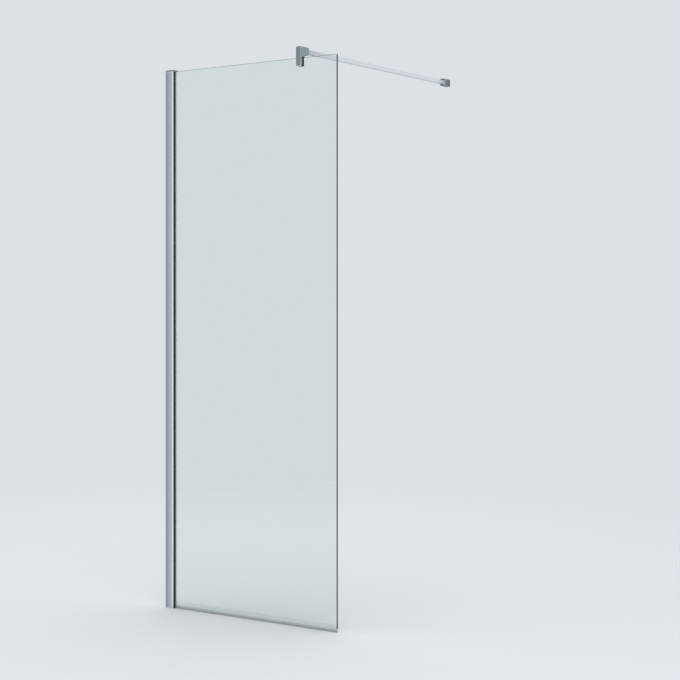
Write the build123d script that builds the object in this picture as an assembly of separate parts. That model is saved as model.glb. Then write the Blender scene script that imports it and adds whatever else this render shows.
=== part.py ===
from build123d import *
import os

# A walk-in shower screen: one fixed glass panel in a telescopic wall profile, steadied by a square
# bar that runs from a clamp on the glass's top edge to a block on the second wall.
# +X runs along the glass away from the profile's wall, +Y from the glass towards the bar's wall,
# +Z up. The origin is on the floor, at the profile's wall, in the middle of the glass's thickness.
# All sizes are in millimetres.

# The screen as a whole
screen_width = 775.0  # wall to the glass's free edge, with the profile pushed fully in
screen_height = 2000.0
bar_wall_distance = 1000.0  # middle of the glass to the wall that holds the bar
width_adjustment = 15.0  # how far the glazing channel draws out of the wall

# Glass panel
glass_thickness = 8.0
glass_floor_gap = 10.0
glass_corner_radius = 3.0
glass_arris = 0.6

# Glazing channel, the outer profile that carries the glass
channel_width = 37.5
channel_thickness = 28.0
channel_wall = 1.8
channel_corner_radius = 1.4
channel_wall_gap = 0.5
cross_web = 1.6
glass_pocket_depth = 10.9
gasket_rib = 1.2
gasket_rib_height = 2.4
gasket_rib_setback = 4.8

# Wall channel, the inner profile that is screwed to the wall
slide_clearance = 0.3
wall_web = 2.2
wall_leg = 1.8
wall_leg_end_gap = 0.5
wall_channel_top_gap = 2.0
drill_groove_depth = 0.4
wall_screw_hole_radius = 2.75
wall_screw_count = 4
wall_screw_end_distance = 150.0

# Lock screws, which pass through the glazing channel and a slot in the wall channel
lock_count = 3
lock_end_distance = 200.0
lock_screw_radius = 2.0
lock_hole_clearance = 0.15
lock_slot_clearance = 0.3
lock_slot_web_gap = 0.8
lock_head_radius = 3.6
lock_head_height = 2.2
nut_plate_width = 10.0
nut_plate_height = 16.0
nut_plate_thickness = 4.0
nut_plate_edge = 0.6
nut_plate_clearance = 0.2
screw_cap_radius = 5.5
screw_cap_wall = 1.0
screw_cap_edge = 0.8
screw_cap_clearance = 0.1

# Cap on the profile's top end
top_cap_thickness = 6.0
top_cap_edge = 0.8
top_cap_overhang = 0.4
top_cap_plug_depth = 10.0
top_cap_plug_wall = 1.4
top_cap_fit = 0.1

# Gaskets that press the glass in its channel, and the packers behind its hidden edge
gasket_lip = 1.6
gasket_foot = 3.6
gasket_bulge = 0.9
gasket_bore_radius = 1.6
edge_packer_thickness = 1.4
edge_packer_length = 60.0
edge_packer_count = 3
edge_packer_end_distance = 300.0
setting_block_side_gap = 0.4

# Clear seal under the glass
seal_wall = 1.0
seal_leg_height = 17.0
seal_base = 1.5
seal_foot_half_width = 4.0
seal_gasket_gap = 0.4

# Stabiliser bar, a square tube
bar_side = 15.0
bar_wall = 1.5
bar_corner_radius = 1.5
bar_above_glass = 24.5  # top edge of the glass to the bar's axis
bar_position = 620.0  # profile's wall to the bar's axis
socket_clearance = 0.15

# Clamp on the glass's top edge
block_width = 20.0
block_height = 28.0
block_edge = 0.8
clamp_front_reach = 18.0
clamp_rear_reach = 33.0
clamp_leg_thickness = 11.5
clamp_leg_drop = 30.0
clamp_socket_depth = 15.0
saddle_glass_clearance = 0.3
saddle_rear_wall = 2.2
saddle_bridge = 3.0  # rubber over the glass's top edge
jaw_thickness = 2.0
jaw_side_gap = 2.0
jaw_foot_reach = 20.0
jaw_recess_clearance = 0.1
jaw_bend_radius = 1.6
jaw_screw_spacing = 9.0
jaw_screw_radius = 1.5
jaw_screw_length = 7.0
jaw_screw_head_radius = 2.8
jaw_screw_setback = 3.6
thread_clearance = 0.05
tiny = 0.01  # two places this near are the same

# Shapes that all the screws share
screw_end_edge = 0.4
socket_across_radius = 1.3  # width of a head's hexagon socket as a share of the shank's radius
pan_crown_share = 0.6  # flat top of a pan head as a share of its radius

# Grub screws, of which two lock the bar in its sockets
grub_point = 0.4  # height of the screw's point as a share of its radius
grub_end_edge = 0.3
grub_socket_share = 0.45  # depth of the hexagon socket as a share of the screw's length
bar_grub_radius = 2.5
bar_grub_length = 5.4
bar_grub_bar_gap = 0.1
bar_grub_mouth_distance = 6.0

# Bracket on the second wall: a base screwed to the wall and a block that hides it
bracket_wall_gap = 0.3
bracket_partition = 2.5
bar_overlap = 20.0  # how deep the bar sits in the bracket
bar_overlap_range = 10.0  # how far the bracket slides along the bar each way
bar_overlap_spare = 0.8
base_width = 15.2
base_height = 20.0
base_thickness = 10.0
base_clearance = 0.2
base_screw_room = 0.7
base_edge = 0.5
base_hole_radius = 2.25
base_countersink_radius = 4.2
base_hole_spacing = 10.0
base_grub_radius = 2.0
base_grub_length = 4.0
base_grub_dimple = 0.8

# Places worked out from the sizes above
glass_face = glass_thickness / 2
channel_face = channel_thickness / 2
channel_inside = channel_face - channel_wall
channel_lip = channel_wall_gap + channel_width
pocket_floor = channel_lip - glass_pocket_depth
cross_web_back = pocket_floor - cross_web
leg_face = channel_inside - slide_clearance
leg_inside = leg_face - wall_leg
leg_tip = cross_web_back - wall_leg_end_gap
wall_channel_height = screen_height - top_cap_plug_depth - wall_channel_top_gap
glass_back_edge = pocket_floor + edge_packer_thickness
lock_slot_half_width = lock_screw_radius + lock_slot_clearance
lock_slot_start = wall_web + lock_slot_web_gap
lock_position = lock_slot_start + lock_slot_half_width
bar_height = screen_height + bar_above_glass
block_bottom = bar_height - block_height / 2
block_top = bar_height + block_height / 2
socket_half = bar_side / 2 + socket_clearance
clamp_leg_face = clamp_leg_thickness - clamp_front_reach
saddle_bottom = screen_height - clamp_leg_drop
saddle_top = screen_height + saddle_glass_clearance + saddle_bridge
jaw_front = glass_face + saddle_glass_clearance + saddle_rear_wall
jaw_back = jaw_front + jaw_thickness
jaw_half_width = block_width / 2 - jaw_side_gap
base_pocket_depth = base_thickness + base_screw_room - bracket_wall_gap
bracket_socket_depth = bar_overlap + bar_overlap_range + bar_overlap_spare
bracket_length = bracket_socket_depth + bracket_partition + base_pocket_depth
bracket_mouth = bar_wall_distance - bracket_wall_gap - bracket_length
bar_start = clamp_rear_reach - clamp_socket_depth
bar_end = bracket_mouth + bar_overlap
bar_grub_tip = bar_height - bar_side / 2 - bar_grub_bar_gap


def rectangle(left, right, low, high):
    return Pos((left + right) / 2, (low + high) / 2) * Rectangle(right - left, high - low)


def along_x(section, start, length):
    """Extrude a section drawn in (Y, Z)."""
    return extrude(Plane.YZ.offset(start) * section, length)


def along_y(section, start, length):
    """Extrude a section drawn in (X, Z)."""
    return extrude(Plane.XZ.offset(-start - length) * section, length)


def along_z(section, start, length):
    """Extrude a section drawn in (X, Y)."""
    return extrude(Plane.XY.offset(start) * section, length)


def spaced(low, high, count):
    """Heights spread evenly from low to high."""
    return [low + (high - low) * i / (count - 1) for i in range(count)]


def wall_screw_heights():
    return spaced(wall_screw_end_distance, wall_channel_height - wall_screw_end_distance, wall_screw_count)


def lock_heights():
    return spaced(lock_end_distance, screen_height - lock_end_distance, lock_count)


def turned(*outline):
    """Revolve a half section, drawn as (radius, z), about Z."""
    return revolve(Plane.XZ * make_face(Polyline(*outline, close=True)), Axis.Z)


def hex_socket(width, bottom, depth):
    return along_z(RegularPolygon(width / 2, 6, major_radius=False), bottom, depth)


def grub_screw(radius, length):
    """Point up at z = 0, hexagon socket in the lower end."""
    point = radius * grub_point
    body = turned(
        (0, 0),
        (radius - point, 0),
        (radius, -point),
        (radius, grub_end_edge - length),
        (radius - grub_end_edge, -length),
        (0, -length),
    )
    return body - hex_socket(radius, -length, length * grub_socket_share)


def countersunk_screw(radius, length, head_radius):
    """Flat of the head at z = 0, shank upwards, hexagon socket in the head."""
    cone = head_radius - radius
    body = turned(
        (0, 0),
        (head_radius, 0),
        (radius, cone),
        (radius, length),
        (0, length),
    )
    return body - hex_socket(radius * socket_across_radius, 0, cone)


def pan_head_screw(radius, length, head_radius, head_height):
    """Seat of the head at z = 0, shank downwards, hexagon socket in the head."""
    body = turned(
        (0, head_height),
        (head_radius * pan_crown_share, head_height),
        (head_radius, head_height / 2),
        (head_radius, 0),
        (radius, 0),
        (radius, screw_end_edge - length),
        (radius - screw_end_edge, -length),
        (0, -length),
    )
    return body - hex_socket(radius * socket_across_radius, head_height / 2, head_height)


def wall_channel():
    """U section with its web on the wall and a drilling groove down the middle of the web."""
    section = rectangle(0, leg_tip, -leg_face, leg_face)
    section = fillet(section.vertices(), wall_leg * 0.3)
    hollow = rectangle(wall_web, leg_tip + wall_leg, -leg_inside, leg_inside)
    section -= fillet(hollow.vertices(), wall_leg * 0.3)
    groove = Polyline(
        (wall_web, -drill_groove_depth),
        (wall_web - drill_groove_depth, 0),
        (wall_web, drill_groove_depth),
        close=True,
    )
    channel = along_z(section - make_face(groove), 0, wall_channel_height)
    for height in wall_screw_heights():
        channel -= along_x(Pos(0, height) * Circle(wall_screw_hole_radius), -wall_web, 3 * wall_web)
    slot_length = width_adjustment + 2 * lock_slot_half_width
    slot = SlotOverall(slot_length, 2 * lock_slot_half_width)
    for height in lock_heights():
        place = Pos(lock_slot_start + slot_length / 2, height)
        channel -= along_y(place * slot, leg_inside - wall_leg / 2, 2 * wall_leg)
    return channel


def glazing_channel():
    """H section that slides over the wall channel and holds the glass between two gasket ribs."""
    section = rectangle(channel_wall_gap, channel_lip, -channel_face, channel_face)
    section = fillet(section.vertices(), channel_corner_radius)
    section -= rectangle(0, cross_web_back, -channel_inside, channel_inside)
    section -= rectangle(pocket_floor, channel_lip + channel_wall, -channel_inside, channel_inside)
    rib_front = channel_lip - gasket_rib_setback
    rib_tip = channel_inside - gasket_rib_height
    wall_middle = channel_inside + channel_wall / 2
    for low, high in ((rib_tip, wall_middle), (-wall_middle, -rib_tip)):
        section += rectangle(rib_front - gasket_rib, rib_front, low, high)
    channel = along_z(section, 0, screen_height)
    for height in lock_heights():
        hole = Pos(lock_position, height) * Circle(lock_screw_radius + lock_hole_clearance)
        channel -= along_y(hole, channel_inside - channel_wall / 2, 2 * channel_wall)
    return channel


def gasket():
    """Hollow wedge gasket on the glass's +Y face: foot behind the rib, lip out on the glass."""
    rib_front = channel_lip - gasket_rib_setback
    rib_back = rib_front - gasket_rib
    rib_tip = channel_inside - gasket_rib_height
    foot = rib_back - gasket_foot
    lip = channel_lip + gasket_lip
    outer = Polyline(
        (foot + gasket_foot / 3, glass_face),
        (foot, channel_inside - gasket_rib_height / 2),
        (foot + gasket_foot / 3, channel_inside),
        (rib_back, channel_inside),
        (rib_back, rib_tip),
        (rib_front, rib_tip),
        (rib_front, channel_inside),
        (channel_lip, channel_inside),
    )
    middle = ((channel_lip + lip) / 2 - gasket_bulge / 2, (channel_inside + glass_face) / 2)
    face = ThreePointArc((channel_lip, channel_inside), middle, (lip, glass_face))
    inner = Line((lip, glass_face), (foot + gasket_foot / 3, glass_face))
    section = make_face(outer + face + inner)
    bore = Pos((rib_front + channel_lip) / 2, (glass_face + rib_tip) / 2 + gasket_rib_height / 2)
    section -= bore * Circle(gasket_bore_radius)
    return along_z(section, 0, screen_height)


def edge_packers():
    """Plastic strips that keep the glass's hidden edge off the cross web."""
    strip = rectangle(pocket_floor, glass_back_edge, -glass_face, glass_face)
    heights = spaced(edge_packer_end_distance, screen_height - edge_packer_end_distance, edge_packer_count)
    return [along_z(strip, height - edge_packer_length / 2, edge_packer_length) for height in heights]


def setting_block():
    """Block inside the channel's foot that carries the corner of the glass."""
    half = glass_face - setting_block_side_gap
    foot = rectangle(glass_back_edge, channel_lip, -half, half)
    return along_z(fillet(foot.vertices(), setting_block_side_gap), 0, glass_floor_gap)


def lock_screws():
    length = channel_wall + slide_clearance + wall_leg + nut_plate_clearance + nut_plate_thickness
    screw = pan_head_screw(lock_screw_radius, length, lock_head_radius, lock_head_height)
    return [Pos(lock_position, channel_face, height) * Rot(-90, 0, 0) * screw for height in lock_heights()]


def lock_nut_plates():
    """Threaded plates inside the wall channel that the lock screws pull against its leg."""
    outer = leg_inside - nut_plate_clearance
    start = wall_web + lock_slot_web_gap / 2
    plates = []
    for height in lock_heights():
        low = height - nut_plate_height / 2
        plate = rectangle(start, start + nut_plate_width, low, low + nut_plate_height)
        plate = chamfer(plate.vertices(), nut_plate_edge)
        plate -= Pos(lock_position, height) * Circle(lock_screw_radius + thread_clearance)
        plates.append(along_y(plate, outer - nut_plate_thickness, nut_plate_thickness))
    return plates


def screw_caps():
    """Snap caps over the lock screws' heads."""
    room = lock_head_radius + screw_cap_clearance
    height = lock_head_height + screw_cap_clearance
    top = height + screw_cap_wall
    cap = turned(
        (0, height),
        (room, height),
        (room, 0),
        (screw_cap_radius, 0),
        (screw_cap_radius, top - screw_cap_edge),
        (screw_cap_radius - screw_cap_edge, top),
        (0, top),
    )
    return [Pos(lock_position, channel_face, place) * Rot(-90, 0, 0) * cap for place in lock_heights()]


def channel_top_cap():
    """Lid on the profile's upper end, with a hollow plug that grips inside the glazing channel."""
    over = top_cap_overhang
    lid = rectangle(channel_wall_gap, channel_lip + over, -channel_face - over, channel_face + over)
    lid = along_z(fillet(lid.vertices(), channel_corner_radius), screen_height, top_cap_thickness)
    lid = chamfer(lid.edges().group_by(Axis.Z)[-1], top_cap_edge)
    reach = channel_inside - top_cap_fit
    left = channel_wall_gap + top_cap_plug_wall
    right = cross_web_back - top_cap_fit
    plug = rectangle(left, right, -reach, reach)
    wall = top_cap_plug_wall
    plug -= rectangle(left + wall, right - wall, wall - reach, reach - wall)
    return lid + along_z(plug, screen_height - top_cap_plug_depth, top_cap_plug_depth)


def glass_panel():
    pane = rectangle(glass_back_edge, screen_width, glass_floor_gap, screen_height)
    pane = fillet(pane.vertices().group_by(Axis.X)[-1], glass_corner_radius)
    panel = along_y(pane, -glass_face, glass_thickness)
    rims = panel.edges().group_by(Axis.Y)
    return chamfer(rims[0] + rims[-1], glass_arris)


def bottom_seal():
    """Clear seal: two legs clip on the glass and a hollow foot stands on the floor."""
    outside = glass_face + seal_wall
    base_bottom = glass_floor_gap - seal_base
    leg_top = glass_floor_gap + seal_leg_height
    section = rectangle(-outside, outside, base_bottom, leg_top)
    section = fillet(section.vertices().group_by(Axis.Y)[-1], seal_wall * 0.4)
    section -= rectangle(-glass_face, glass_face, glass_floor_gap, leg_top + seal_wall)
    foot = Polyline(
        (-outside, base_bottom),
        (-seal_foot_half_width, 0),
        (seal_foot_half_width, 0),
        (outside, base_bottom),
        close=True,
    )
    section += make_face(foot)
    room = seal_foot_half_width - seal_wall
    chamber = rectangle(-room, room, seal_wall, base_bottom - seal_wall / 2)
    section -= fillet(chamber.vertices(), seal_wall)
    start = channel_lip + gasket_lip + seal_gasket_gap
    return along_x(section, start, screen_width - start)


def bar_socket(mouth, depth, direction):
    """Square bore for the bar, from its mouth along +Y or -Y."""
    side = 2 * socket_half
    bore = fillet(Rectangle(side, side).vertices(), bar_corner_radius)
    start = min(mouth, mouth + direction * depth)
    return along_y(Pos(bar_position, bar_height) * bore, start, depth)


def clamp_body():
    """One block with a leg down the outside of the glass, deeper over the glass's edge than behind
    it, with the bar's socket in its back."""
    outline = Polyline(
        (-clamp_front_reach, saddle_bottom),
        (clamp_leg_face, saddle_bottom),
        (clamp_leg_face, saddle_top),
        (jaw_back, saddle_top),
        (jaw_back, block_bottom),
        (clamp_rear_reach, block_bottom),
        (clamp_rear_reach, block_top),
        (-clamp_front_reach, block_top),
        close=True,
    )
    body = along_x(make_face(outline), bar_position - block_width / 2, block_width)
    sharp = body.edges().filter_by(lambda edge: not is_inside_corner(edge))
    body = chamfer(sharp, block_edge)
    body -= bar_socket(clamp_rear_reach, clamp_socket_depth, -1)
    body -= jaw_recess()
    for place in jaw_screw_places():
        hole = Circle(jaw_screw_radius + thread_clearance)
        body -= along_z(Pos(*place) * hole, block_bottom, jaw_screw_length + 0.5)
    return body - grub_hole(bar_grub_radius, clamp_rear_reach - bar_grub_mouth_distance)


def is_inside_corner(edge):
    corners = [(clamp_leg_face, saddle_top), (jaw_back, block_bottom)]
    middle = edge.center()
    return any(abs(middle.Y - y) < tiny and abs(middle.Z - z) < tiny for y, z in corners)


def grub_hole(radius, y):
    """Threaded hole up through a block's underside into its socket."""
    hole = Pos(bar_position, y) * Circle(radius + thread_clearance)
    return along_z(hole, block_bottom - block_edge, bar_height - block_bottom)


def jaw_screw_places():
    y = jaw_foot_reach - jaw_screw_setback - jaw_screw_head_radius
    return [(bar_position + side * jaw_screw_spacing / 2, y) for side in (-1, 1)]


def jaw_recess():
    gap = jaw_recess_clearance
    half = jaw_half_width + gap
    foot = rectangle(bar_position - half, bar_position + half, jaw_front - gap, jaw_foot_reach + gap)
    start = saddle_top - block_edge
    return along_z(foot, start, block_bottom + jaw_thickness + gap - start)


def clamp_saddle():
    """Rubber saddle over the glass's edge: pads on both faces and a bridge above."""
    front = glass_face + saddle_glass_clearance
    section = rectangle(clamp_leg_face, jaw_front, saddle_bottom, saddle_top)
    slot = rectangle(-front, front, saddle_bottom - glass_arris, screen_height + saddle_glass_clearance)
    section -= fillet(slot.vertices(), glass_arris)
    return along_x(section, bar_position - block_width / 2, block_width)


def clamp_jaw():
    """Bent steel plate that closes the clamp behind the glass, screwed up into the block."""
    outline = Polyline(
        (jaw_front, saddle_bottom),
        (jaw_back, saddle_bottom),
        (jaw_back, block_bottom),
        (jaw_foot_reach, block_bottom),
        (jaw_foot_reach, block_bottom + jaw_thickness),
        (jaw_front, block_bottom + jaw_thickness),
        close=True,
    )
    section = make_face(outline)
    bend = section.vertices().sort_by(lambda v: v.Y - v.Z)[0]
    section = fillet(bend, jaw_bend_radius)
    jaw = along_x(section, bar_position - jaw_half_width, 2 * jaw_half_width)
    for x, y in jaw_screw_places():
        cone = jaw_screw_head_radius - jaw_screw_radius
        sink = turned(
            (0, 0),
            (jaw_screw_head_radius + thread_clearance, 0),
            (jaw_screw_radius + thread_clearance, cone),
            (jaw_screw_radius + thread_clearance, jaw_thickness),
            (0, jaw_thickness),
        )
        jaw -= Pos(x, y, block_bottom) * sink
    return jaw


def jaw_screws():
    screw = countersunk_screw(jaw_screw_radius, jaw_screw_length, jaw_screw_head_radius)
    return [Pos(x, y, block_bottom) * screw for x, y in jaw_screw_places()]


def bar_grub_screw(y):
    return Pos(bar_position, y, bar_grub_tip) * grub_screw(bar_grub_radius, bar_grub_length)


def stabiliser_bar():
    """Square tube with rounded corners."""
    tube = fillet(Rectangle(bar_side, bar_side).vertices(), bar_corner_radius)
    bore = bar_side - 2 * bar_wall
    tube -= fillet(Rectangle(bore, bore).vertices(), bar_corner_radius / 3)
    return along_y(Pos(bar_position, bar_height) * tube, bar_start, bar_end - bar_start)


def bracket_body():
    """Block with the bar's socket in front and a pocket over the wall base behind."""
    block = Pos(bar_position, bar_height) * Rectangle(block_width, block_height)
    body = along_y(block, bracket_mouth, bracket_length)
    wall_rim = body.edges().group_by(Axis.Y)[-1]
    body = chamfer([edge for edge in body.edges() if edge not in wall_rim], block_edge)
    body -= bar_socket(bracket_mouth, bracket_socket_depth, 1)
    pocket = Rectangle(base_width + 2 * base_clearance, base_height + 2 * base_clearance)
    pocket_start = bracket_mouth + bracket_length - base_pocket_depth
    body -= along_y(Pos(bar_position, bar_height) * pocket, pocket_start, base_pocket_depth)
    body -= grub_hole(bar_grub_radius, bracket_mouth + bar_grub_mouth_distance)
    return body - grub_hole(base_grub_radius, base_grub_y())


def base_grub_y():
    return bar_wall_distance - base_thickness / 2


def bracket_base():
    """Block screwed to the wall, with a dimple that the lock screw's point draws into."""
    block = Pos(bar_position, bar_height) * Rectangle(base_width, base_height)
    base = along_y(block, bar_wall_distance - base_thickness, base_thickness)
    base = chamfer(base.edges().group_by(Axis.Y)[0], base_edge)
    cone = base_countersink_radius - base_hole_radius
    bore = turned(
        (0, -base_thickness),
        (base_hole_radius, -base_thickness),
        (base_hole_radius, -cone),
        (base_countersink_radius, 0),
        (0, 0),
    )
    for side in (-1, 1):
        height = bar_height + side * base_hole_spacing / 2
        base -= Pos(bar_position, bar_wall_distance - base_thickness, height) * Rot(90, 0, 0) * bore
    point = base_grub_radius * grub_point
    mouth = base_grub_radius + thread_clearance
    dimple = turned(
        (0, base_grub_dimple),
        (mouth - point, base_grub_dimple),
        (mouth, base_grub_dimple - point),
        (mouth, -base_grub_dimple),
        (0, -base_grub_dimple),
    )
    return base - Pos(bar_position, base_grub_y(), bar_height - base_height / 2) * dimple


def bracket_lock_screw():
    tip = bar_height - base_height / 2 + base_grub_dimple - thread_clearance
    return Pos(bar_position, base_grub_y(), tip) * grub_screw(base_grub_radius, base_grub_length)


pieces = {
    "wall_channel": [wall_channel()],
    "glazing_channel": [glazing_channel()],
    "channel_top_cap": [channel_top_cap()],
    "inner_gasket": [gasket()],
    "outer_gasket": [mirror(gasket(), about=Plane.XZ)],
    "edge_packers": edge_packers(),
    "setting_block": [setting_block()],
    "lock_screws": lock_screws(),
    "lock_nut_plates": lock_nut_plates(),
    "screw_caps": screw_caps(),
    "glass_panel": [glass_panel()],
    "bottom_seal": [bottom_seal()],
    "clamp_body": [clamp_body()],
    "clamp_saddle": [clamp_saddle()],
    "clamp_jaw": [clamp_jaw()],
    "jaw_screws": jaw_screws(),
    "clamp_bar_screw": [bar_grub_screw(clamp_rear_reach - bar_grub_mouth_distance)],
    "stabiliser_bar": [stabiliser_bar()],
    "bracket_body": [bracket_body()],
    "bracket_base": [bracket_base()],
    "bracket_bar_screw": [bar_grub_screw(bracket_mouth + bar_grub_mouth_distance)],
    "bracket_lock_screw": [bracket_lock_screw()],
}

os.makedirs("parts", exist_ok=True)
for name, solids in pieces.items():
    shape = solids[0] if len(solids) == 1 else Compound(children=solids)
    export_step(shape, f"parts/{name}.step")
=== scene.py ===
import bmesh
import bpy
import math
from mathutils import Matrix, Vector

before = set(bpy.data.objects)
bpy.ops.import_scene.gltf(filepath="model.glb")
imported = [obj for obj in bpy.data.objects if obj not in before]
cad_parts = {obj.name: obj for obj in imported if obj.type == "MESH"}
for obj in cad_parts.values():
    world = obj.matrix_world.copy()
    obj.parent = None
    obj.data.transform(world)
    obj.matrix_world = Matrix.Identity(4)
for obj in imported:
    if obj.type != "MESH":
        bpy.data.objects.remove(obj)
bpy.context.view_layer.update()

# The viewpoint: a level camera at chest height, in front of the screen and to its right. It looks
# 35 degrees left of square to the glass, and its frame is shifted down, not tilted, so that
# uprights stay upright.
eye = Vector((3.8350, -4.3579, 1.1547))
level = math.radians(90)
turn = math.radians(34.975)
focal_length = 81.577
frame_shift = -0.0611
lens = bpy.data.cameras.new("lens")
lens.lens = focal_length
lens.shift_y = frame_shift
camera = bpy.data.objects.new("camera", lens)
camera.location = eye
camera.rotation_euler = (level, 0, turn)
bpy.context.collection.objects.link(camera)
scene = bpy.context.scene
scene.camera = camera
scene.view_settings.view_transform = "Standard"

# The surroundings and the floor: an even pale backdrop, and a pale matt floor that takes the
# object's shadow and fades into the backdrop, so that no horizon shows behind the glass. What is
# mirrored from steeply above or below is darker, which gives the chrome its contrast.


class Flow:
    """An output of a shader node. Arithmetic on it adds the Math nodes of the expression."""

    def __init__(self, finish, socket):
        self.finish = finish
        self.socket = socket

    def maths(self, operation, *values):
        settings = {"operation": operation}
        return self.finish.node("ShaderNodeMath", settings, dict(enumerate(values)))

    def __add__(self, other):
        return self.maths("ADD", self, other)

    def __sub__(self, other):
        return self.maths("SUBTRACT", self, other)

    def __rsub__(self, other):
        return self.maths("SUBTRACT", other, self)

    def __mul__(self, other):
        return self.maths("MULTIPLY", self, other)

    def __gt__(self, other):
        return self.maths("GREATER_THAN", self, other)

    def __abs__(self):
        return self.maths("ABSOLUTE", self)

    __radd__ = __add__
    __rmul__ = __mul__


class Finish:
    """The node tree of a material or of the world, and the few calls that fill it."""

    def __init__(self, owner):
        self.owner = owner
        owner.use_nodes = True
        self.tree = owner.node_tree
        self.tree.nodes.clear()

    def node(self, kind, settings, inputs, output=0):
        made = self.tree.nodes.new(kind)
        for name, value in settings.items():
            setattr(made, name, value)
        for name, value in inputs.items():
            if isinstance(value, Flow):
                self.tree.links.new(value.socket, made.inputs[name])
            else:
                made.inputs[name].default_value = value
        return Flow(self, made.outputs[output])

    def place(self):
        """Position in the object's own metres."""
        return self.node("ShaderNodeTexCoord", {}, {}, "Object")

    def noise(self, cells, detail=3.0):
        """Noise from 0 to 1, with so many cells to a metre along X, Y and Z."""
        settings = {"operation": "MULTIPLY"}
        where = self.node("ShaderNodeVectorMath", settings, {0: self.place(), 1: cells})
        inputs = {"Vector": where, "Scale": 1.0, "Detail": detail}
        return self.node("ShaderNodeTexNoise", {}, inputs, "Fac")

    def step(self, value, low, high):
        """Smooth step from 0 at low to 1 at high."""
        settings = {"interpolation_type": "SMOOTHSTEP"}
        inputs = {"Value": value, "From Min": low, "From Max": high}
        return self.node("ShaderNodeMapRange", settings, inputs)

    def blend(self, share, first, second):
        """Colour that goes from first to second as share goes from 0 to 1."""
        settings = {"data_type": "RGBA"}
        return self.node("ShaderNodeMix", settings, {0: share, 6: first, 7: second}, 2)

    def bump(self, height, depth):
        """Normal from a height of 0 to 1 that stands for a depth in metres."""
        inputs = {"Height": height, "Distance": depth, "Strength": 1.0}
        return self.node("ShaderNodeBump", {}, inputs)

    def principled(self, **values):
        inputs = {name.replace("_", " "): value for name, value in values.items()}
        return self.node("ShaderNodeBsdfPrincipled", {}, inputs)

    def mix(self, share, first, second):
        return self.node("ShaderNodeMixShader", {}, {0: share, 1: first, 2: second})

    def surface(self, shader):
        """Put the shader on the material, which is handed back."""
        self.end("ShaderNodeOutputMaterial", shader)
        return self.owner

    def end(self, kind, shader):
        made = self.tree.nodes.new(kind)
        self.tree.links.new(shader.socket, made.inputs["Surface"])


def finish(name):
    return Finish(bpy.data.materials.new(name))


def colour(red, green, blue):
    """Screen colour, each part from 0 to 255, as the linear colour that a socket takes."""
    parts = [part / 255 for part in (red, green, blue)]
    linear = [
        part / 12.92 if part <= 0.04045 else ((part + 0.055) / 1.055) ** 2.4 for part in parts
    ]
    return (*linear, 1.0)


surroundings = colour(220, 225, 229)
overhead = colour(132, 138, 145)
steep = 0.42, 0.75
room_light = Finish(bpy.data.worlds.new("room_light"))
scene.world = room_light.owner
skyward = room_light.node("ShaderNodeTexCoord", {}, {}, "Generated")
climb = abs(room_light.node("ShaderNodeSeparateXYZ", {}, {0: skyward}, "Z"))
mirrored = room_light.node("ShaderNodeLightPath", {}, {}, "Is Glossy Ray")
backdrop = room_light.blend(mirrored * room_light.step(climb, *steep), surroundings, overhead)
room_light.end(
    "ShaderNodeOutputWorld",
    room_light.node("ShaderNodeBackground", {}, {"Color": backdrop, "Strength": 1.0}),
)

floor_middle = (0.35, 0.35, 0)
floor_reach = 9.0
floor_sides = 96
floor_fade = 1.4, 4.6
floor_shade = colour(248, 248, 248)
disc = bmesh.new()
bmesh.ops.create_circle(disc, cap_ends=True, segments=floor_sides, radius=floor_reach)
floor_mesh = bpy.data.meshes.new("floor")
disc.to_mesh(floor_mesh)
disc.free()
floor = bpy.data.objects.new("floor", floor_mesh)
floor.location = floor_middle
bpy.context.collection.objects.link(floor)
stone = finish("floor")
outward = stone.node("ShaderNodeVectorMath", {"operation": "LENGTH"}, {0: stone.place()}, "Value")
matt = stone.node("ShaderNodeBsdfDiffuse", {}, {"Color": floor_shade})
gone = stone.node("ShaderNodeBsdfTransparent", {}, {})
faded = stone.mix(stone.step(outward, *floor_fade), matt, gone)
floor_mesh.materials.append(stone.surface(faded))

# The lamps: a large softbox above and in front, and a weaker one from behind on the left. Neither
# is mirrored in the metal or seen through the glass.
lamps = {
    "softbox": ((2.6, -2.8, 4.2), 2.6, 36.0),
    "side_softbox": ((-2.4, 2.4, 3.4), 2.0, 10.0),
}
aim = Vector((0.4, 0.3, 1.0))
for name, (place, width, watts) in lamps.items():
    lamp = bpy.data.lights.new(name, "AREA")
    lamp.shape = "SQUARE"
    lamp.size = width
    lamp.energy = watts
    stand = bpy.data.objects.new(name, lamp)
    stand.location = place
    stand.rotation_euler = (aim - stand.location).to_track_quat("-Z", "Y").to_euler()
    stand.visible_glossy = False
    stand.visible_transmission = False
    bpy.context.collection.objects.link(stand)

# Glowing grey boards that only polished metal sees, as a photographer sets beside chrome so that
# its faces read as metal. Each stands where the camera sees it mirrored in one flat face. A strip
# beside the profile and a patch round the bracket are painted wall shadow, dark next to the
# profile and the bracket, which the metal mirrors close by; they fade out away from them.


def reflector(name, width, height):
    """Flat board that lets every ray through, apart from one that has left a metal face."""
    sheet = bmesh.new()
    bmesh.ops.create_grid(sheet, x_segments=1, y_segments=1, size=0.5)
    bmesh.ops.scale(sheet, vec=(width, height, 1), verts=sheet.verts)
    mesh = bpy.data.meshes.new(name)
    sheet.to_mesh(mesh)
    sheet.free()
    board = bpy.data.objects.new(name, mesh)
    bpy.context.collection.objects.link(board)
    for kind in ("camera", "diffuse", "volume_scatter", "shadow"):
        setattr(board, f"visible_{kind}", False)
    return board


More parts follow.
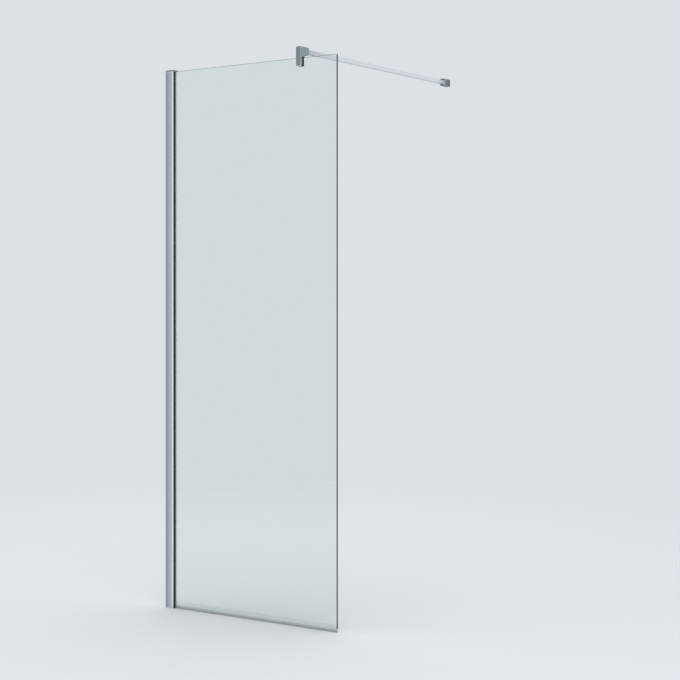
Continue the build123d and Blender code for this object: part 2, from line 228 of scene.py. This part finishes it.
def glow(grey, shade, share=1.0, behind_glass=False):
    """Finish of a reflector. A ray mirrored by the clear glass passes it, and so does one sent
    through the glass, unless the board is one that the clamp's leg sees behind the glass."""
    depth, sharp, through = (
        grey.node("ShaderNodeLightPath", {}, {}, name)
        for name in ("Glossy Depth", "Is Singular Ray", "Is Transmission Ray")
    )
    before_first = 0.5
    from_glass = sharp * (1.0 - through) if behind_glass else sharp
    seen = (depth > before_first) * (1.0 - from_glass) * share
    clear = grey.node("ShaderNodeBsdfTransparent", {}, {})
    lit = grey.node("ShaderNodeEmission", {}, {"Color": shade})
    return grey.surface(grey.mix(seen, clear, lit))


bar_x = 0.620
front, side, under = Vector((1, -1, 1)), Vector((-1, 1, 1)), Vector((1, 1, -1))
boards = {
    "clamp_front_board": ((bar_x, -0.018, 2.004), front, 2.4, (0.26, 0.36), colour(152, 160, 163)),
    "clamp_side_board": ((0.630, -0.0725, 2.004), side, 2.5, (0.26, 0.36), colour(166, 180, 184)),
    "clamp_low_board": ((bar_x, -0.060, 1.990), under, 2.3, (0.26, 0.4), colour(126, 130, 134)),
    "bracket_front_board": ((0.616, 0.956, 2.024), front, 3.2, (0.24, 0.30), colour(88, 96, 104)),
    "bar_low_board": ((bar_x, 0.500, 2.017), under, 2.8, (0.96, 0.4), colour(182, 188, 194)),
}
for name, (face, mirror, distance, size, shade) in boards.items():
    board = reflector(name, *size)
    sight = (Vector(face) - eye).normalized() * mirror
    board.location = Vector(face) + sight * distance
    board.rotation_euler = (-sight).to_track_quat("Z", "Y").to_euler()
    board.data.materials.append(glow(finish(name), shade, behind_glass=mirror is side))

strip_x = -0.001
strip_end = -0.0145
strip_reach = 0.05
strip_height = 2.0
strip_fade = strip_reach * -0.3, strip_reach * 0.5
facing_x = Matrix(((0, 0, 1), (1, 0, 0), (0, 1, 0)))
strip = reflector("profile_wall_shadow", strip_reach, strip_height)
strip.location = (strip_x, strip_end - strip_reach / 2, strip_height / 2)
strip.rotation_euler = facing_x.to_euler()
beside_profile = finish(strip.name)
across = beside_profile.node("ShaderNodeSeparateXYZ", {}, {0: beside_profile.place()}, "X")
# Painted wall shadow beside the profile: dark next to it, fading out away from it.
painted_shadow_beside_profile = beside_profile.step(across, *strip_fade)
strip.data.materials.append(glow(beside_profile, colour(161, 167, 175), painted_shadow_beside_profile))

patch_y = 1.0004
patch_z = 2.0245
patch_reach = 0.15
patch_fade = 0.070, 0.012
bracket_half = 0.0102, 0.0142
patch = reflector("bracket_wall_shadow", patch_reach, patch_reach)
patch.location = (bar_x, patch_y, patch_z)
patch.rotation_euler = (level, 0, 0)
halo = finish(patch.name)
spread = halo.node("ShaderNodeVectorMath", {"operation": "LENGTH"}, {0: halo.place()}, "Value")
# Painted wall shadow round the bracket: darkest next to it, fading out away from it.
painted_shadow_round_bracket = halo.step(spread, *patch_fade)
sideways, upwards = (
    abs(halo.node("ShaderNodeSeparateXYZ", {}, {0: halo.place()}, axis)) for axis in ("X", "Y")
)
outside = 1.0 - (1.0 - (sideways > bracket_half[0])) * (1.0 - (upwards > bracket_half[1]))
patch.data.materials.append(glow(halo, colour(124, 132, 142), outside * painted_shadow_round_bracket))

# The two aluminium profiles: extrusions, drawn through a die that leaves faint lines along them,
# then bright anodised. The inner one is screwed down and the outer one slides over it. The outer
# one's lip by the glass is polished, and has a painted highlight: its band is coloured brighter.
# Beside it runs a narrow darker stripe, painted shade of a groove that is not modelled.


def wear(material, *nodes):
    """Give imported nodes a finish."""
    for name in nodes:
        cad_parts[name].material_slots[0].material = material


die_cells = (900.0, 900.0, 1.5)
die_depth = 0.00001
haze_cells = (14.0, 14.0, 5.0)
lip_start = 0.0320
lip_blur = 0.0004
lip_line = 0.0300
line_fade = 0.0004, 0.0012
anodised = finish("bright_anodised_aluminium")
die_lines = anodised.noise(die_cells, 4.0)
haze = anodised.noise(haze_cells)
along = anodised.node("ShaderNodeSeparateXYZ", {}, {0: anodised.place()}, "X")
# Painted highlight: the lip's band is coloured brighter. It is also made smoother, as polished.
polished_lip_painted_highlight = anodised.step(along, lip_start - lip_blur, lip_start + lip_blur)
# Painted shade of a groove: a narrow darker stripe in the colour beside the lip.
painted_groove_shade = 1.0 - anodised.step(abs(along - lip_line), *line_fade)
streaks = haze * 0.5 + die_lines * 0.5
streaked = anodised.blend(streaks, colour(214, 218, 224), colour(198, 203, 209))
with_painted_groove_shade = anodised.blend(painted_groove_shade * 0.4, streaked, colour(150, 156, 163))
wear(
    anodised.surface(
        anodised.principled(
            Base_Color=anodised.blend(polished_lip_painted_highlight, with_painted_groove_shade, colour(246, 247, 249)),
            Metallic=1.0,
            Roughness=0.2 + haze * 0.05 + die_lines * 0.06 - polished_lip_painted_highlight * 0.1,
            Normal=anodised.bump(die_lines, die_depth),
        )
    ),
    "wall_channel",
    "glazing_channel",
)

# The cap on the profile's top end, the caps over its screws, and the packers and the block inside
# it: moulded in grey plastic with a fine spark-eroded grain.
grain_cells = (2600.0, 2600.0, 2600.0)
grain_depth = 0.00004
moulded = finish("grained_grey_plastic")
grain = moulded.noise(grain_cells, 2.0)
wear(
    moulded.surface(
        moulded.principled(
            Base_Color=moulded.blend(grain, colour(134, 139, 145), colour(152, 157, 163)),
            Roughness=0.42 + grain * 0.12,
            Normal=moulded.bump(grain, grain_depth),
        )
    ),
    "channel_top_cap",
    "screw_caps",
    "edge_packers",
    "setting_block",
)

# The gasket on the outer side and the clamp's saddle: black rubber, slightly dusty, with a fine
# skin from the die. The gasket's rubber is the greyer one.
skin_cells = (1500.0, 1500.0, 240.0)
skin_depth = 0.00003
dust_cells = (60.0, 60.0, 18.0)
rubbers = {
    "gasket_rubber": ("outer_gasket", colour(38, 43, 50), colour(54, 60, 67)),
    "saddle_rubber": ("clamp_saddle", colour(18, 20, 23), colour(28, 31, 34)),
}
for name, (piece, clean, dusty) in rubbers.items():
    rubber = finish(name)
    skin = rubber.noise(skin_cells, 3.0)
    dust = rubber.noise(dust_cells)
    black = rubber.principled(
        Base_Color=rubber.blend(dust, clean, dusty),
        Roughness=0.5 + skin * 0.2,
        Specular_IOR_Level=0.2,
        Normal=rubber.bump(skin, skin_depth),
    )
    wear(rubber.surface(black), piece)

# The glass: 8 mm clear toughened float glass. Its faces are clear. Its edges are ground flat and
# polished, and look a dark bottle green, because they show the pane's whole width. Their arrises
# are ground matt. An edge is told from a face by how far its normal leans out of the pane.
edge_lean = 0.85, 0.95
arris_lean = 0.2, 0.4
polish_cells = (500.0, 500.0, 500.0)
depth_cells = (40.0, 900.0, 12.0)
pane = finish("clear_toughened_glass")
normal = pane.node("ShaderNodeNewGeometry", {}, {}, "Normal")
facing = abs(pane.node("ShaderNodeSeparateXYZ", {}, {0: normal}, "Y"))
on_edge = 1.0 - pane.step(facing, *edge_lean)
on_arris = pane.step(facing, *arris_lean)
polish = pane.noise(polish_cells)
depths = pane.noise(depth_cells)
clear = pane.principled(
    Base_Color=colour(242, 247, 246),
    Roughness=0.0,
    IOR=1.52,
    Transmission_Weight=1.0,
)
bottle_green = pane.blend(depths, colour(34, 50, 47), colour(62, 84, 79))
matt_green = pane.blend(polish, colour(112, 130, 126), colour(136, 152, 148))
ground = pane.principled(
    Base_Color=pane.blend(on_arris, bottle_green, matt_green),
    Roughness=0.22 + polish * 0.1 + on_arris * 0.25,
    Specular_IOR_Level=0.3,
)
solid = pane.mix(on_edge, clear, ground)
lamp_side = pane.node("ShaderNodeBsdfTransparent", {}, {"Color": colour(249, 252, 251)})
is_shadow = pane.node("ShaderNodeLightPath", {}, {}, "Is Shadow Ray")
wear(pane.surface(pane.mix(is_shadow, solid, lamp_side)), "glass_panel")

# The bottom seal: clear PVC, extruded, a little milky. Its legs clip on the glass, and its hollow
# foot stands on the floor. The foot is coloured darker, as painted shade where it meets the floor,
# and is more opaque, because there the plastic is thickest.
foot_height = 0.0088
foot_fade = 0.003
cloud_cells = (4.0, 300.0, 300.0)
rim_width = 0.3
vinyl = finish("clear_vinyl")
cloud = vinyl.noise(cloud_cells)
height = vinyl.node("ShaderNodeSeparateXYZ", {}, {0: vinyl.place()}, "Z")
# Painted shade: the foot's colour is darker, as shade where it meets the floor; it is also more
# opaque.
in_foot = 1.0 - vinyl.step(height, foot_height - foot_fade, foot_height)
rim = vinyl.node("ShaderNodeLayerWeight", {}, {"Blend": rim_width}, "Facing")
legs = vinyl.blend(cloud, colour(186, 193, 193), colour(204, 211, 210))
foot = vinyl.blend(cloud, colour(134, 142, 144), colour(154, 162, 163))
wear(
    vinyl.surface(
        vinyl.principled(
            Base_Color=vinyl.blend(in_foot, legs, foot),
            Roughness=0.16 + cloud * 0.12,
            Alpha=0.03 + cloud * 0.03 + in_foot * 0.2 + rim * 0.1,
        )
    ),
    "bottom_seal",
)

# The gasket on the shower side: the same wedge as the black one, in a whiter PVC that lets a
# little light through.
chalk_cells = (200.0, 200.0, 6.0)
milky = finish("milky_vinyl")
chalk = milky.noise(chalk_cells)
wear(
    milky.surface(
        milky.principled(
            Base_Color=milky.blend(chalk, colour(243, 247, 248), colour(250, 252, 252)),
            Roughness=0.34 + chalk * 0.14,
            Alpha=0.9 + chalk * 0.1,
        )
    ),
    "inner_gasket",
)

# The clamp's and the bracket's blocks: brass, chromed and polished, with faint wiping marks.
wiping_cells = (220.0, 60.0, 60.0)
wiping_depth = 0.000003
chrome = finish("polished_chrome")
wiping = chrome.noise(wiping_cells, 5.0)
wear(
    chrome.surface(
        chrome.principled(
            Base_Color=chrome.blend(wiping, colour(204, 206, 209), colour(212, 214, 217)),
            Metallic=1.0,
            Roughness=0.05 + wiping * 0.05,
            Normal=chrome.bump(wiping, wiping_depth),
        )
    ),
    "clamp_body",
    "bracket_body",
)

# The stabiliser bar: a square tube, ground along its length and chromed.
grinding_cells = (1600.0, 3.0, 1600.0)
grinding_depth = 0.00001
tube = finish("satin_chrome_tube")
grinding = tube.noise(grinding_cells, 4.0)
wear(
    tube.surface(
        tube.principled(
            Base_Color=tube.blend(grinding, colour(234, 237, 240), colour(246, 247, 249)),
            Metallic=1.0,
            Roughness=0.08 + grinding * 0.07,
            Normal=tube.bump(grinding, grinding_depth),
        )
    ),
    "stabiliser_bar",
)

# The jaw behind the glass: bent steel plate, powder coated black.
peel_cells = (1100.0, 1100.0, 1100.0)
peel_depth = 0.00004
coated = finish("black_powder_coat")
orange_peel = coated.noise(peel_cells, 2.0)
wear(
    coated.surface(
        coated.principled(
            Base_Color=coated.blend(orange_peel, colour(8, 9, 10), colour(16, 17, 19)),
            Roughness=0.42 + orange_peel * 0.1,
            Specular_IOR_Level=0.12,
            Normal=coated.bump(orange_peel, peel_depth),
        )
    ),
    "clamp_jaw",
)

# The screws, the nut plates and the bracket's base: turned and milled stainless steel.
turning_cells = (1300.0, 1300.0, 1300.0)
turning_depth = 0.00002
stainless = finish("stainless_steel")
turning = stainless.noise(turning_cells, 4.0)
wear(
    stainless.surface(
        stainless.principled(
            Base_Color=stainless.blend(turning, colour(168, 170, 173), colour(190, 192, 194)),
            Metallic=1.0,
            Roughness=0.26 + turning * 0.12,
            Normal=stainless.bump(turning, turning_depth),
        )
    ),
    "lock_screws",
    "lock_nut_plates",
    "jaw_screws",
    "clamp_bar_screw",
    "bracket_base",
    "bracket_bar_screw",
    "bracket_lock_screw",
)
